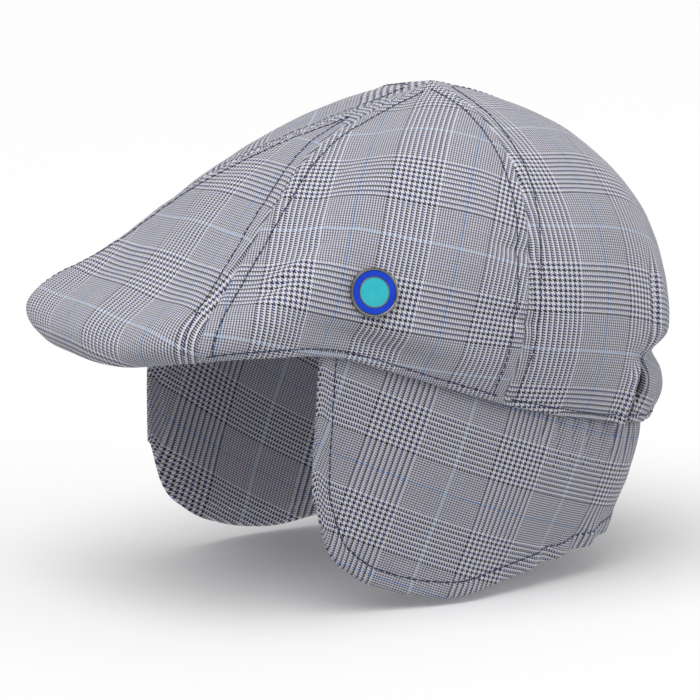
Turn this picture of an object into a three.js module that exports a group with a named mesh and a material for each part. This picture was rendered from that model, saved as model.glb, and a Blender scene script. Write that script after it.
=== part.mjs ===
// Flat cap with a duckbill peak and a wrap-around ear flap, in checked cloth.
// Units are millimetres. +Z is up, the wearer faces -Y and the wearer's left is +X.
// The origin is the centre of the head opening, level with the rim above the ears.
import * as THREE from 'three';

// Driving sizes of the crown and the peak
const halfWidth = 80;        // side of the crown's rim from the middle plane
const frontReach = 142;      // tip of the peak in front of the origin
const backReach = 105;       // rim at the nape behind the origin
const rimRise = 27;          // highest part of the peak's side edge above the origin
const napeDrop = 21;         // rim at the nape below the origin
const crownHeight = 115.5;   // top of the crown above the origin
const crownBack = 17;        // top of the crown behind the origin
const frontHollow = 9.4;     // depth of the dip between the crown's slope and the peak
const napePinch = 5;         // how far the elastic pulls the cloth in above its tunnel
const tunnelHeight = 28;     // height of the gathered tunnel at the nape
const tunnelPuff = 1.2;      // how far the tunnel stands out
const ruffleDepth = 1;       // half height of the gathers along the tunnel
const ruffleCount = 3;       // gathers on each half of the tunnel

// Driving sizes of the cloth, the peak's covered board and the flap
const crownWall = 2;         // sewn and lined thickness of the crown's cloth
const clearance = 0.3;       // gap between neighbouring pieces
const boardThickness = 3;    // covered board that stiffens the peak
const foreheadReach = 96;    // forehead in front of the origin, where the board ends
const foreheadWidth = 62;    // half width of the forehead's curve
const foreheadCurve = 40;    // depth of the forehead's curve, front to back
const foreheadRise = 31;     // board's inner edge above the origin, at the middle
const flapWall = 2.4;        // double cloth of the ear flap
const flapDepth = 75;        // lowest point of the flap below the origin
const flapTuck = 8;          // how far the flap's top edge reaches up inside the crown
const flapInset = 2.7;       // the flap's outer face inside the rim's outer face
const flapDraw = 13;         // how far the flap's lower edge closes in on the neck

// Driving sizes of the badge
const badgeRadius = 9.7;
const badgeStand = 0.5;      // from the face of the cloth to the back of the badge
const badgeBase = 0.9;       // thickness of the metal plate behind the enamel
const badgeLip = 0.8;        // width of the raised metal lip
const badgeDepth = 2.4;      // whole thickness at the lip
const enamelThickness = 1.1;

// Sections of the crown from the front (at 0) round the left side to the nape (at 1).
// side, along, rise: the rim as shares of halfWidth, of frontReach or backReach, and
// of rimRise or napeDrop. heading: degrees from straight ahead at the top of the crown.
// fall: degrees below level there. crown and rim: handle lengths as shares of
// crownHeight. lean: degrees at the rim, 0 outward and 90 straight up.
// hollow: share of frontHollow.
const sections = [
  { at: 0.00, side: 0.00, along: -1.000, rise: 0.76, heading: 0, fall: 13.5,
    crown: 0.67, lean: 48, rim: 0.30, hollow: 1.0 },
  { at: 0.08, side: 0.38, along: -0.983, rise: 0.76, heading: 12, fall: 13.7,
    crown: 0.65, lean: 43, rim: 0.30, hollow: 1.0 },
  { at: 0.15, side: 0.64, along: -0.940, rise: 0.88, heading: 22, fall: 14.4,
    crown: 0.60, lean: 35, rim: 0.32, hollow: 0.9 },
  { at: 0.22, side: 0.81, along: -0.855, rise: 0.97, heading: 32, fall: 12.4,
    crown: 0.57, lean: 38, rim: 0.23, hollow: 0.7 },
  { at: 0.30, side: 0.89, along: -0.715, rise: 1.00, heading: 42, fall: 9.6,
    crown: 0.57, lean: 50, rim: 0.24, hollow: 0.4 },
  { at: 0.42, side: 0.88, along: -0.470, rise: 0.85, heading: 60, fall: 5.0,
    crown: 0.61, lean: 60, rim: 0.32, hollow: 0.1 },
  { at: 0.54, side: 1.00, along: -0.170, rise: 0.31, heading: 80, fall: 2.6,
    crown: 0.64, lean: 62, rim: 0.39, hollow: 0.0 },
  { at: 0.68, side: 1.00, along: 0.210, rise: -0.29, heading: 105, fall: 6.2,
    crown: 0.64, lean: 61, rim: 0.45, hollow: 0.0 },
  { at: 0.84, side: 0.79, along: 0.720, rise: -0.81, heading: 143, fall: 8.4,
    crown: 0.77, lean: 68, rim: 0.50, hollow: 0.0 },
  { at: 1.00, side: 0.00, along: 1.000, rise: -1.00, heading: 180, fall: 11.5,
    crown: 0.78, lean: 66, rim: 0.52, hollow: 0.0 },
];

// Where the two seams on each side run: down is 0 at the top of the crown, 1 at the rim.
const seams = [
  { at: 0.00, front: 0.065, rear: 0.545 },
  { at: 0.20, front: 0.060, rear: 0.607 },
  { at: 0.40, front: 0.142, rear: 0.624 },
  { at: 0.60, front: 0.176, rear: 0.621 },
  { at: 0.80, front: 0.205, rear: 0.617 },
  { at: 1.00, front: 0.210, rear: 0.603 },
];

// The flap from its front edge (at 0) to the nape (at 1).
// depth: share of flapDepth. draw: share of flapDraw.
const flapStart = 0.385;     // section at which the flap's front edge hangs
const flapSections = [
  { at: 0.00, depth: 0.42, draw: 0.10 },
  { at: 0.03, depth: 0.66, draw: 0.14 },
  { at: 0.08, depth: 0.82, draw: 0.20 },
  { at: 0.16, depth: 0.94, draw: 0.30 },
  { at: 0.26, depth: 1.00, draw: 0.50 },
  { at: 0.42, depth: 0.96, draw: 0.75 },
  { at: 0.60, depth: 0.88, draw: 0.90 },
  { at: 0.80, depth: 0.80, draw: 0.95 },
  { at: 1.00, depth: 0.76, draw: 0.95 },
];

// Where the badge sits on the wearer's left side panel, and where the peak's board ends
const badgePlace = { at: 0.444, down: 0.753 };
const boardEnd = flapStart - 0.01;
const boardSweep = 62;       // degrees of the forehead's curve on each side
const topOpening = 0.015;    // share of each meridian left open where the seams meet
const gatherSpan = 0.215;    // share of each half that the gathered tunnel takes

const degrees = Math.PI / 180;

// Smooth curve through one column of a table. An odd column keeps its slope at the ends.
function column(table, pick, at, odd = false) {
  const last = table.length - 1;
  const rise = (i) => (pick(table[i + 1]) - pick(table[i])) / (table[i + 1].at - table[i].at);
  const inner = (i) => {
    const before = table[i].at - table[i - 1].at;
    const after = table[i + 1].at - table[i].at;
    return (rise(i) * before + rise(i - 1) * after) / (before + after);
  };
  const slope = (i) => {
    if (i === 0) return odd ? 2 * rise(0) - inner(1) : 0;
    if (i === last) return odd ? 2 * rise(last - 1) - inner(last - 1) : 0;
    return inner(i);
  };
  let i = 0;
  while (i < last - 1 && at >= table[i + 1].at) i += 1;
  const span = table[i + 1].at - table[i].at;
  const t = (at - table[i].at) / span;
  return (2 * t ** 3 - 3 * t ** 2 + 1) * pick(table[i])
    + (t ** 3 - 2 * t ** 2 + t) * span * slope(i)
    + (3 * t ** 2 - 2 * t ** 3) * pick(table[i + 1])
    + (t ** 3 - t ** 2) * span * slope(i + 1);
}

const sideOf = (row) => row.side * halfWidth;
const alongOf = (row) => row.along * (row.along < 0 ? frontReach : backReach);
const riseOf = (row) => row.rise * (row.rise < 0 ? napeDrop : rimRise);

// Point of the rim on the left half, at in 0..1
function rimPoint(at) {
  return new THREE.Vector3(
    column(sections, sideOf, at, true),
    column(sections, alongOf, at),
    column(sections, riseOf, at),
  );
}

function mirrored(point, at) {
  return at < 0 ? point.setX(-point.x) : point;
}

// Smooth hump that is 1 at the middle and falls away over the given width
const hump = (value, middle, width) => Math.exp(-(((value - middle) / width) ** 2));

// Outer face of the crown before the gathers. A negative at is the right half.
function meridian(at, down) {
  const section = Math.abs(at);
  const rim = rimPoint(section);
  const top = new THREE.Vector3(0, crownBack, crownHeight);
  const heading = column(sections, (row) => row.heading, section, true) * degrees;
  const fall = column(sections, (row) => row.fall, section) * degrees;
  const lean = column(sections, (row) => row.lean, section) * degrees;
  const crownHandle = column(sections, (row) => row.crown, section) * crownHeight;
  const rimHandle = column(sections, (row) => row.rim, section) * crownHeight;
  const fromTop = new THREE.Vector3(
    Math.sin(heading) * Math.cos(fall),
    -Math.cos(heading) * Math.cos(fall),
    -Math.sin(fall),
  );
  const outward = new THREE.Vector3(rim.x, rim.y - crownBack, 0).normalize();
  const toRim = outward.clone().multiplyScalar(Math.cos(lean)).setZ(Math.sin(lean));
  const curve = new THREE.CubicBezierCurve3(
    top,
    top.clone().addScaledVector(fromTop, crownHandle),
    rim.clone().addScaledVector(toRim, rimHandle),
    rim,
  );
  const point = curve.getPoint(down);
  const dip = column(sections, (row) => row.hollow, section) * frontHollow * hump(down, 0.60, 0.17);
  point.addScaledVector(outward, -0.45 * dip);
  point.z -= 0.9 * dip;
  return mirrored(point, at);
}

// The elastic at the nape pinches the cloth in, and the tunnel puffs and ruffles below it.
function gathers(at, down) {
  const section = Math.abs(at);
  const nape = THREE.MathUtils.smoothstep(section, 1 - gatherSpan, 1 - gatherSpan / 2);
  if (nape === 0) return 0;
  const height = (meridian(at, down).z - rimPoint(section).z) / tunnelHeight;
  const ruffle = ruffleDepth * Math.cos((1 - section) / gatherSpan * ruffleCount * 2 * Math.PI);
  const puff = (tunnelPuff + ruffle) * hump(height, 0.35, 0.35);
  return nape * (puff - napePinch * hump(height, 0.93, 0.25));
}

// Unit normal of a face given as a function of two shares
function normalOf(face, a, b) {
  const step = 1e-3;
  const alongA = face(a + step, b).sub(face(a - step, b));
  const alongB = face(a, b + step).sub(face(a, b - step));
  return alongB.cross(alongA).normalize();
}

function crownFace(at, down) {
  const point = meridian(at, down);
  return point.addScaledVector(normalOf(meridian, at, down), gathers(at, down));
}

// Closed solid from an outer and an inner sheet of points with the same rows and columns
function closedShell(outer, inner) {
  const rows = outer.length;
  const columns = outer[0].length;
  const positions = [];
  for (const sheet of [outer, inner]) {
    for (const row of sheet) {
      for (const point of row) positions.push(point.x, point.y, point.z);
    }
  }
  const index = (sheet, i, j) => (sheet * rows + i) * columns + j;
  const triangles = [];
  const quad = (a, b, c, d) => triangles.push(a, c, b, a, d, c);
  for (let i = 0; i < rows - 1; i += 1) {
    for (let j = 0; j < columns - 1; j += 1) {
      quad(index(0, i, j), index(0, i, j + 1), index(0, i + 1, j + 1), index(0, i + 1, j));
      quad(index(1, i, j), index(1, i + 1, j), index(1, i + 1, j + 1), index(1, i, j + 1));
    }
  }
  for (let i = 0; i < rows - 1; i += 1) {
    const end = columns - 1;
    quad(index(0, i, 0), index(0, i + 1, 0), index(1, i + 1, 0), index(1, i, 0));
    quad(index(0, i + 1, end), index(0, i, end), index(1, i, end), index(1, i + 1, end));
  }
  for (let j = 0; j < columns - 1; j += 1) {
    const end = rows - 1;
    quad(index(0, 0, j + 1), index(0, 0, j), index(1, 0, j), index(1, 0, j + 1));
    quad(index(0, end, j), index(0, end, j + 1), index(1, end, j + 1), index(1, end, j));
  }
  const geometry = new THREE.BufferGeometry();
  geometry.setAttribute('position', new THREE.Float32BufferAttribute(positions, 3));
  geometry.setIndex(triangles);
  geometry.computeVertexNormals();
  return geometry;
}

// Rows crowd together towards the rim, where the peak's lip turns under.
const crownRows = 21;
const downAt = (i) => topOpening + (1 - topOpening) * (1 - (1 - i / crownRows) ** 1.35);

// How much of the section range half a seam's gap takes at one place
function halfGap(at, down) {
  const step = 1e-3;
  const stretch = meridian(at + step, down).distanceTo(meridian(at - step, down)) / (2 * step);
  return clearance / 2 / stretch;
}

// One panel of the crown between two lines, each given as a function of down.
// It stops half a gap short of both. crowd says where its columns stand.
function panel(fromLine, toLine, columns, crowd = (share) => share) {
  const outer = [];
  const inner = [];
  for (let i = 0; i <= crownRows; i += 1) {
    const down = downAt(i);
    const from = fromLine(down) + halfGap(fromLine(down), down);
    const to = toLine(down) - halfGap(toLine(down), down);
    const outerRow = [];
    const innerRow = [];
    for (let j = 0; j <= columns; j += 1) {
      const at = from + (to - from) * crowd(j / columns);
      const point = crownFace(at, down);
      outerRow.push(point);
      innerRow.push(point.clone().addScaledVector(normalOf(crownFace, at, down), -crownWall));
    }
    outer.push(outerRow);
    inner.push(innerRow);
  }
  return closedShell(outer, inner);
}

const frontSeam = (down) => column(seams, (row) => row.front, down);
const rearSeam = (down) => column(seams, (row) => row.rear, down);

// The same seam or line on the right half
const onRight = (line) => (down) => -line(down);

// Level direction out of the rim on the left half
function rimOutward(at) {
  const step = 1e-3;
  const along = rimPoint(at + step).sub(rimPoint(at - step));
  return new THREE.Vector3(along.y, -along.x, 0).normalize();
}

// Inner edge of the peak's board, along the forehead. across runs from -1 to 1.
function foreheadPoint(across) {
  const angle = across * boardSweep * degrees;
  return new THREE.Vector3(
    foreheadWidth * Math.sin(angle),
    -foreheadReach + foreheadCurve * (1 - Math.cos(angle)),
    THREE.MathUtils.lerp(foreheadRise, rimRise, Math.abs(across)),
  );
}

// Covered board of the peak: from just inside the crown's edge back to the forehead.
function peakBoard() {
  const rows = 5;
  const columns = 30;
  const upper = [];
  const lower = [];
  for (let i = 0; i <= rows; i += 1) {
    const upperRow = [];
    const lowerRow = [];
    for (let j = 0; j <= columns; j += 1) {
      const across = 2 * j / columns - 1;
      const section = Math.abs(across) * boardEnd;
      const edge = rimPoint(section);
      edge.addScaledVector(rimOutward(section), -crownWall - clearance);
      const point = mirrored(edge, across).lerp(foreheadPoint(across), i / rows);
      lowerRow.push(point);
      upperRow.push(point.clone().setZ(point.z + boardThickness));
    }
    upper.push(upperRow);
    lower.push(lowerRow);
  }
  return closedShell(lower, upper);
}

// Outer face of the flap: across is -1 at the left front edge, 0 at the nape, 1 at the right.
function flapFace(across, down) {
  const share = 1 - Math.abs(across);
  const section = flapStart + (1 - flapStart) * share;
  const top = rimPoint(section);
  const bottom = -column(flapSections, (row) => row.depth, share) * flapDepth;
  const draw = column(flapSections, (row) => row.draw, share) * flapDraw;
  const point = top.clone().addScaledVector(rimOutward(section), -flapInset - draw * down ** 2);
  point.z = THREE.MathUtils.lerp(top.z + flapTuck, bottom, down);
  return mirrored(point, -across);
}

function earFlap() {
  const rows = 8;
  const columns = 54;
  const outer = [];
  const inner = [];
  for (let i = 0; i <= rows; i += 1) {
    const down = i / rows;
    const outerRow = [];
    const innerRow = [];
    for (let j = 0; j <= columns; j += 1) {
      const across = Math.sin((j / columns - 0.5) * Math.PI);
      const point = flapFace(across, down);
      outerRow.push(point);
      innerRow.push(point.clone().addScaledVector(normalOf(flapFace, across, down), -flapWall));
    }
    outer.push(outerRow);
    inner.push(innerRow);
  }
  return closedShell(outer, inner);
}

// Metal dish of the badge: a plate with a raised lip, its back at z = 0
function badgeDish() {
  const profile = [
    new THREE.Vector2(0, 0),
    new THREE.Vector2(badgeRadius - 0.4, 0),
    new THREE.Vector2(badgeRadius, 0.4),
    new THREE.Vector2(badgeRadius, badgeDepth - 0.4),
    new THREE.Vector2(badgeRadius - badgeLip / 2, badgeDepth),
    new THREE.Vector2(badgeRadius - badgeLip, badgeDepth - 0.3),
    new THREE.Vector2(badgeRadius - badgeLip, badgeBase),
    new THREE.Vector2(0, badgeBase),
  ];
  return new THREE.LatheGeometry(profile, 40).rotateX(Math.PI / 2);
}

function badgeEnamel() {
  const radius = badgeRadius - badgeLip - clearance;
  const geometry = new THREE.CylinderGeometry(radius, radius, enamelThickness, 40);
  geometry.rotateX(Math.PI / 2);
  return geometry.translate(0, 0, badgeBase + clearance + enamelThickness / 2);
}

const cloth = { color: 0x8f8e9a, roughness: 0.9, metalness: 0 };
const cap = new THREE.Group();

function add(name, geometry, look, parent = cap) {
  const mesh = new THREE.Mesh(geometry, new THREE.MeshStandardMaterial(look));
  mesh.name = name;
  parent.add(mesh);
  return mesh;
}

add('front_panel', panel(onRight(frontSeam), frontSeam, 16), cloth);
add('side_panel_left', panel(frontSeam, rearSeam, 15), cloth);
add('side_panel_right', panel(onRight(rearSeam), onRight(frontSeam), 15), cloth);
add('back_panel_left', panel(rearSeam, () => 1, 17, (share) => 1 - (1 - share) ** 1.5), cloth);
add('back_panel_right', panel(() => -1, onRight(rearSeam), 17, (share) => share ** 1.5), cloth);
add('peak', peakBoard(), { color: 0x7f7e8a, roughness: 0.9, metalness: 0 });
add('ear_flap', earFlap(), { color: 0x82818d, roughness: 0.9, metalness: 0 });

// The badge lies against the cloth, facing straight out of it.
const badge = new THREE.Group();
const badgeNormal = normalOf(crownFace, badgePlace.at, badgePlace.down);
badge.position.copy(crownFace(badgePlace.at, badgePlace.down));
badge.position.addScaledVector(badgeNormal, badgeStand);
badge.quaternion.setFromUnitVectors(new THREE.Vector3(0, 0, 1), badgeNormal);
cap.add(badge);
add('badge_rim', badgeDish(), { color: 0xb9bcc0, roughness: 0.25, metalness: 1 }, badge);
add('badge_enamel', badgeEnamel(), { color: 0x2fa6b8, roughness: 0.2, metalness: 0 }, badge);

export default cap;
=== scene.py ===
import math

import bpy
import numpy as np
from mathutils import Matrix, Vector


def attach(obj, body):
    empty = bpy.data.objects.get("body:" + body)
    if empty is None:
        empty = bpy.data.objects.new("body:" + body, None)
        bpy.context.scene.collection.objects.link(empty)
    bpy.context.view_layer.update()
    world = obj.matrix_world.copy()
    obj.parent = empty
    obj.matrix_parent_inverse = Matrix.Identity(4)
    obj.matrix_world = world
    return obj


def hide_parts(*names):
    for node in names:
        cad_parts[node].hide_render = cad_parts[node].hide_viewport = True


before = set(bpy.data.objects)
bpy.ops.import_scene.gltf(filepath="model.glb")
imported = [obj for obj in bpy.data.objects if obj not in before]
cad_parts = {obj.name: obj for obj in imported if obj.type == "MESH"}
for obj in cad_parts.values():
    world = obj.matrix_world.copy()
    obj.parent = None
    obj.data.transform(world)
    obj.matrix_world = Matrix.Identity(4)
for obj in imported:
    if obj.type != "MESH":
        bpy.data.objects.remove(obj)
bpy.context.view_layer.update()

# Sizes, in millimetres

HALF_WIDTH = 80.0
FRONT_REACH = 142.0
BACK_REACH = 105.0
RIM_RISE = 27.0
NAPE_DROP = 21.0
CROWN_HEIGHT = 115.5
CROWN_BACK = 17.0
FRONT_HOLLOW = 9.4
NAPE_PINCH = 5.6
TUNNEL_HEIGHT = 28.0
TUNNEL_PUFF = 0.8
CROWN_WALL = 2.0
CLEARANCE = 0.3
BOARD_THICKNESS = 3.0
FOREHEAD_REACH = 96.0
FOREHEAD_WIDTH = 62.0
FOREHEAD_CURVE = 40.0
FOREHEAD_RISE = 31.0
FOREHEAD_SWEEP = 62.0  # degrees each way from the middle
FLAP_WALL = 2.4
FLAP_DEPTH = 75.0
FLAP_TUCK = 8.0
FLAP_INSET = 2.7
FLAP_DRAW = 13.0
BADGE_STAND = 0.5
TUNNEL_RUN = 46.0

# Places on the crown. Round it, 0 is the middle of the front and 1 the middle of the nape.
# Down it, 0 is the top and 1 the rim.
FLAP_START = 0.385
FLAP_LEAN = 0.0095
BOARD_END = FLAP_START - 0.01
TUNNEL_START = 0.785
TOP_START = 0.002
BADGE_PLACE = (0.444, 0.753)

# The badge's radii are drawn in by this much, to look as large as in the photo.
BADGE_TRIM = 0.96

# Stitching: the distance of each row from its edge, and the size of one stitch
STITCH_OFFSET = 5.2
RIM_STITCH = 3.4
HEM_STITCH = 7.0
STITCH_PITCH = 2.9
STITCH_LENGTH = 2.75
STITCH_SLANT = 0.05
SEAM_STITCH_WIDTH = 0.56
SEAM_STITCH_LIFT = 0.18
HEM_STITCH_WIDTH = 0.66
HEM_STITCH_LIFT = 0.12
LINE_STEP = 1.2

# The cloth: the pitch of its threads in mm, and then numbers of threads. A band of wide
# stripes has CHECK threads, and the whole pattern repeats after WARP_REPEAT or WEFT_REPEAT.
# Each stripe has WIDE dark threads in the band and FINE outside it.
THREAD = 0.26
CHECK = 80
WARP_REPEAT = 168
WEFT_REPEAT = 192
WIDE = 4.0
FINE = 2.0
LINE_THREADS = 3.0
TWILL = 4.0

# Sections of the crown: place, side, along, rise, heading, fall, crown, lean, rim, hollow
SECTIONS = np.array([
    (0.00, 0.00, -1.000, 0.76, 0, 13.5, 0.67, 48, 0.30, 1.0),
    (0.08, 0.38, -0.983, 0.76, 12, 13.7, 0.65, 43, 0.30, 1.0),
    (0.15, 0.64, -0.940, 0.88, 22, 14.4, 0.60, 35, 0.32, 0.9),
    (0.22, 0.81, -0.855, 0.97, 32, 12.4, 0.57, 38, 0.23, 0.7),
    (0.30, 0.89, -0.715, 1.00, 42, 9.6, 0.57, 50, 0.24, 0.4),
    (0.42, 0.88, -0.470, 0.85, 60, 5.0, 0.61, 60, 0.32, 0.1),
    (0.54, 1.00, -0.170, 0.31, 80, 2.6, 0.64, 62, 0.39, 0.0),
    (0.68, 1.00, 0.210, -0.29, 105, 6.2, 0.64, 61, 0.45, 0.0),
    (0.84, 0.79, 0.720, -0.81, 143, 8.4, 0.77, 68, 0.50, 0.0),
    (1.00, 0.00, 1.000, -1.00, 180, 11.5, 0.78, 66, 0.52, 0.0),
])

# Seams of each side: down, front, rear
SEAMS = np.array([
    (0.00, 0.065, 0.545),
    (0.20, 0.060, 0.607),
    (0.40, 0.142, 0.624),
    (0.60, 0.176, 0.621),
    (0.80, 0.205, 0.617),
    (1.00, 0.210, 0.603),
])

# The flap from its front edge to the nape: place, depth, draw
FLAP_SECTIONS = np.array([
    (0.00, 0.42, 0.10),
    (0.03, 0.66, 0.14),
    (0.08, 0.82, 0.20),
    (0.16, 0.94, 0.30),
    (0.26, 1.00, 0.50),
    (0.42, 0.96, 0.75),
    (0.60, 0.88, 0.90),
    (0.80, 0.80, 0.95),
    (1.00, 0.76, 0.95),
])

# How the cloth lies on each piece: for the warp and the weft, the place of the coloured
# line, the turn in degrees, the spread, and three bends (across, skew, along) in mm at
# BEND_REACH from the middle.
BEND_REACH = 50.0
LAYS = {
    "front": ((55.2, 19.4, 0.93, -0.35, 0.85, 0.55),
              (53.6, 95.5, 0.83, -0.55, -1.7, -0.9)),
    "side": ((-5.7, -9.0, 1.08, 0.35, 0.6, -1.2),
             (34.0, 70.0, 0.67, -1.85, 4.75, -3.4)),
    "back": ((-10.8, -28.1, 1.00, 0.65, -0.1, -3.1),
             (54.5, 64.2, 1.03, 1.9, 2.85, -1.05)),
    "flap": ((59.8, 94.5, 1.11, -1.0, -0.25, -0.05),
             (138.2, 2.8, 0.80, -0.8, 0.35, 0.15)),
    "peak": ((0.0, 0.0, 1.0, 0.0, 0.0, 0.0),
             (20.0, 90.0, 1.0, 0.0, 0.0, 0.0)),
}


# The cap's faces

def smooth_column(places, values, at, odd=False):
    """Smooth curve through one column of a table. An odd column keeps its slope at the ends."""
    gap = np.diff(places)
    rise = np.diff(values) / gap
    slope = np.zeros(len(values))
    slope[1:-1] = (rise[1:] * gap[:-1] + rise[:-1] * gap[1:]) / (gap[:-1] + gap[1:])
    if odd:
        slope[0] = 2 * rise[0] - slope[1]
        slope[-1] = 2 * rise[-1] - slope[-2]
    i = np.clip(np.searchsorted(places, at, side="right") - 1, 0, len(places) - 2)
    span = gap[i]
    t = (at - places[i]) / span
    return ((2 * t**3 - 3 * t**2 + 1) * values[i] + (t**3 - 2 * t**2 + t) * span * slope[i]
            + (3 * t**2 - 2 * t**3) * values[i + 1] + (t**3 - t**2) * span * slope[i + 1])


def section(column, at, odd=False):
    return smooth_column(SECTIONS[:, 0], SECTIONS[:, column], at, odd)


def signed_share(column, below, above):
    share = SECTIONS[:, column]
    return np.where(share < 0, share * below, share * above)


def rim_point(at):
    """Point of the rim on the left half, at in 0..1."""
    x = section(1, at, True) * HALF_WIDTH
    y = smooth_column(SECTIONS[:, 0], signed_share(2, FRONT_REACH, BACK_REACH), at)
    z = smooth_column(SECTIONS[:, 0], signed_share(3, NAPE_DROP, RIM_RISE), at)
    return np.stack([x, y, z], -1)


def mirrored(points, at):
    points = points.copy()
    points[..., 0] *= np.where(at < 0, -1.0, 1.0)
    return points


def hump(value, middle, width):
    return np.exp(-((value - middle) / width) ** 2)


def smooth_step(value, low, high):
    t = np.clip((value - low) / (high - low), 0, 1)
    return t * t * (3 - 2 * t)


def arc_length(line):
    """Length along a line of points up to each of them."""
    return np.concatenate([[0.0], np.linalg.norm(np.diff(line, axis=0), axis=1).cumsum()])


def even(count):
    return np.linspace(0, 1, count)


def meridian(at, down):
    """Outer face of the crown before its relief. A negative at is the right half."""
    at, down = np.broadcast_arrays(np.asarray(at, float), np.asarray(down, float))
    place = np.abs(at)
    rim = rim_point(place)
    top = np.array([0.0, CROWN_BACK, CROWN_HEIGHT])
    heading = np.radians(section(4, place, True))
    fall = np.radians(section(5, place))
    lean = np.radians(section(7, place))
    from_top = np.stack([np.sin(heading) * np.cos(fall), -np.cos(heading) * np.cos(fall),
                         -np.sin(fall)], -1)
    outward = rim[..., :2] - top[:2]
    outward = outward / np.linalg.norm(outward, axis=-1, keepdims=True)
    to_rim = np.concatenate([outward * np.cos(lean)[..., None], np.sin(lean)[..., None]], -1)
    first = top + from_top * (section(6, place) * CROWN_HEIGHT)[..., None]
    second = rim + to_rim * (section(8, place) * CROWN_HEIGHT)[..., None]
    t = down[..., None]
    points = ((1 - t)**3 * top + 3 * (1 - t)**2 * t * first + 3 * (1 - t) * t**2 * second
              + t**3 * rim)
    dip = section(9, place) * FRONT_HOLLOW * hump(down, 0.60, 0.17)
    level = np.full(outward.shape[:-1] + (1,), 0.9)
    points = points - dip[..., None] * np.concatenate([0.45 * outward, level], -1)
    return mirrored(points, at)


def normals_of(face, a, b):
    step = 1e-3
    along_a = face(a + step, b) - face(a - step, b)
    along_b = face(a, b + step) - face(a, b - step)
    normal = np.cross(along_b, along_a)
    return normal / np.linalg.norm(normal, axis=-1, keepdims=True)


def front_seam(down):
    return smooth_column(SEAMS[:, 0], SEAMS[:, 1], down)


def rear_seam(down):
    return smooth_column(SEAMS[:, 0], SEAMS[:, 2], down)


def nape(down):
    return 1.0 + 0.0 * down


def on_right(line):
    """The same line of the crown on its right half."""
    return lambda down: -line(down)


def rim_outward(at):
    step = 1e-3
    along = rim_point(at + step) - rim_point(at - step)
    out = np.stack([along[..., 1], -along[..., 0], 0 * along[..., 0]], -1)
    return out / np.linalg.norm(out, axis=-1, keepdims=True)


def columns(count, *dense):
    """Places over 0..1, closer together round each named place and width."""
    probe = even(2001)
    weight = 1 + sum(2.2 * hump(probe, middle, width) for middle, width in dense)
    run = np.concatenate([[0.0], np.cumsum((weight[1:] + weight[:-1]) / 2)])
    return np.interp(even(count) * run[-1], run, probe)


def crown_at(a, b, first, last):
    """Section and depth for a place between two lines of the crown."""
    down = TOP_START + (1 - TOP_START) * b
    return first(down) + (last(down) - first(down)) * a, down


def crown_part(first, last):
    def face(a, b):
        return meridian(*crown_at(a, b, first, last))
    return face


def flap_part(a, b):
    """Outer face of the flap: a is 0 at the left front edge, 1/2 at the nape, 1 at the right."""
    across = 2 * np.asarray(a, float) - 1
    across, down = np.broadcast_arrays(across, np.asarray(b, float))
    share = 1 - np.abs(across)
    place = FLAP_START + (1 - FLAP_START) * share
    place = place + FLAP_LEAN * (1 - down)**2 * (1 - smooth_step(share, 0.0, 0.25))
    top = rim_point(place)
    depth = smooth_column(FLAP_SECTIONS[:, 0], FLAP_SECTIONS[:, 1], share) * FLAP_DEPTH
    draw = smooth_column(FLAP_SECTIONS[:, 0], FLAP_SECTIONS[:, 2], share) * FLAP_DRAW
    points = top - rim_outward(place) * (FLAP_INSET + draw * down**2)[..., None]
    points[..., 2] = (top[..., 2] + FLAP_TUCK) * (1 - down) - depth * down
    return mirrored(points, -across)


def peak_part(a, b):
    """Lower face of the peak's board, from its outer edge (b = 0) to the forehead (b = 1)."""
    across = 2 * np.asarray(a, float) - 1
    across, inward = np.broadcast_arrays(across, np.asarray(b, float))
    place = np.abs(across) * BOARD_END
    edge = rim_point(place) - rim_outward(place) * (CROWN_WALL + CLEARANCE)
    angle = np.radians(across * FOREHEAD_SWEEP)
    inner = np.stack([
        FOREHEAD_WIDTH * np.sin(angle),
        -FOREHEAD_REACH + FOREHEAD_CURVE * (1 - np.cos(angle)),
        FOREHEAD_RISE + (RIM_RISE - FOREHEAD_RISE) * np.abs(across)], -1)
    return mirrored(edge, across) * (1 - inward[..., None]) + inner * inward[..., None]


# Laying cloth flat

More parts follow.
